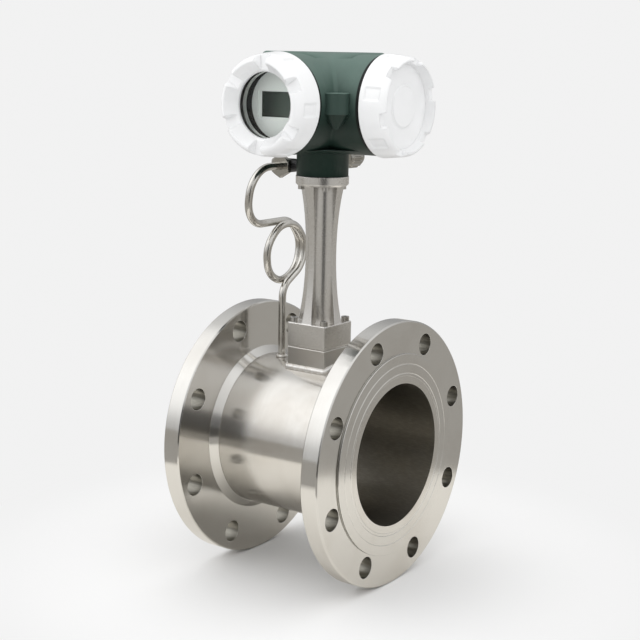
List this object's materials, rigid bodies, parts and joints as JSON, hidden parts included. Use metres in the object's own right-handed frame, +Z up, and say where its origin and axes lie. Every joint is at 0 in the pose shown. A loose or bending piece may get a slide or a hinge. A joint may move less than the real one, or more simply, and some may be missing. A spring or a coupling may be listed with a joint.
{
  "type": "vortex flow meter",
  "caption": "Flanged in-line vortex flow meter: steel tube with bluff body, neck column, siphon-looped pressure tube and green two-compartment head with white screw covers.",
  "frame": {"origin": "centre of the inlet flange's sealing face, on the flow axis", "axes": "+X along the flow from the inlet flange to the outlet flange, +Z up the neck, -Y the way the display looks"},
  "size_m": [0.2026, 0.28, 0.5485],
  "materials": {
    "tube_steel": "fine turned",
    "flange_steel": "turned, bright edges",
    "boss_steel": "milled",
    "weld_bead": "pale matt bead",
    "probe_steel": "turned",
    "cast_steel": "satin casting",
    "screw_steel": "bright",
    "nut_steel": "bright",
    "pressure_tube_steel": "drawn",
    "retainer_metal": "satin",
    "terminal_metal": "plain",
    "post_brass": "plain",
    "gland_metal": "nickel plated",
    "elbow_black": "matt black",
    "housing_paint": "dark green gloss",
    "cover_paint": "white gloss",
    "seal_rubber": "matt black",
    "window_glass": "clear",
    "black_plastic": "matt black",
    "panel_plate": "pale grey",
    "display_screen": "dark grey-green",
    "circuit_board": "green lacquer",
    "terminal_plastic": "dark grey"
  },
  "bodies": {
    "meter": {"meter_tube": "tube_steel", "inlet_flange": "flange_steel", "outlet_flange": "flange_steel", "sensor_boss": "boss_steel", "boss_weld": "weld_bead", "foot_weld": "weld_bead", "bluff_body": "tube_steel", "vortex_probe": "probe_steel", "probe_seal": "seal_rubber", "neck_column": "cast_steel", "base_screws": "screw_steel", "neck_screws": "screw_steel", "neck_gasket": "seal_rubber", "housing": "housing_paint", "display_barrel_end": "housing_paint", "terminal_barrel_end": "housing_paint", "module_cup": "black_plastic", "module_screws": "screw_steel", "board_posts": "post_brass", "main_board": "circuit_board", "display_board": "circuit_board", "display_frame": "black_plastic", "display_panel": "panel_plate", "display_module": "display_screen", "terminal_base": "black_plastic", "terminal_block": "terminal_plastic", "terminal_screws": "terminal_metal", "feedthrough": "black_plastic", "pressure_tube": "pressure_tube_steel", "tube_ferrule": "screw_steel", "tube_nut": "nut_steel", "pressure_elbow": "elbow_black", "pressure_cell": "probe_steel", "gland_body": "gland_metal", "gland_washer": "seal_rubber", "gland_insert": "seal_rubber"},
    "display_cover_travel": {"display_cover_seal": "seal_rubber"},
    "display_cover_set": {"display_cover": "cover_paint", "window_gasket": "seal_rubber", "window_glass": "window_glass", "window_retainer": "retainer_metal"},
    "terminal_cover_travel": {"terminal_cover_seal": "seal_rubber"},
    "terminal_cover_set": {"terminal_cover": "cover_paint"},
    "gland_nut_travel": {"gland_ring": "screw_steel"},
    "gland_nut_set": {"gland_nut": "gland_metal"}
  },
  "joints": [
    {"name": "display_cover_slide", "type": "slide", "parent": "meter", "child": "display_cover_travel", "axis": [0, -1, 0], "range_m": [0, 0.014]},
    {"name": "display_cover_turn", "type": "hinge", "parent": "display_cover_travel", "child": "display_cover_set", "pos_m": [0.098, -0.0774, 0.3565], "axis": [0, -1, 0], "range_deg": [0, 2520]},
    {"name": "terminal_cover_slide", "type": "slide", "parent": "meter", "child": "terminal_cover_travel", "axis": [1, 0, 0], "range_m": [0, 0.014]},
    {"name": "terminal_cover_turn", "type": "hinge", "parent": "terminal_cover_travel", "child": "terminal_cover_set", "pos_m": [0.1754, 0, 0.3565], "axis": [1, 0, 0], "range_deg": [0, 2520]},
    {"name": "gland_nut_slide", "type": "slide", "parent": "meter", "child": "gland_nut_travel", "axis": [0, 1, 0], "range_m": [0, 0.0105]},
    {"name": "gland_nut_turn", "type": "hinge", "parent": "gland_nut_travel", "child": "gland_nut_set", "pos_m": [0.098, 0.0538, 0.299], "axis": [0, 1, 0], "range_deg": [0, 2520]}
  ],
  "couplings": [
    {"joint": "display_cover_slide", "follows": "display_cover_turn", "m_per_rad": 0.0003183},
    {"joint": "terminal_cover_slide", "follows": "terminal_cover_turn", "m_per_rad": 0.0003183},
    {"joint": "gland_nut_slide", "follows": "gland_nut_turn", "m_per_rad": 0.0002387}
  ]
}
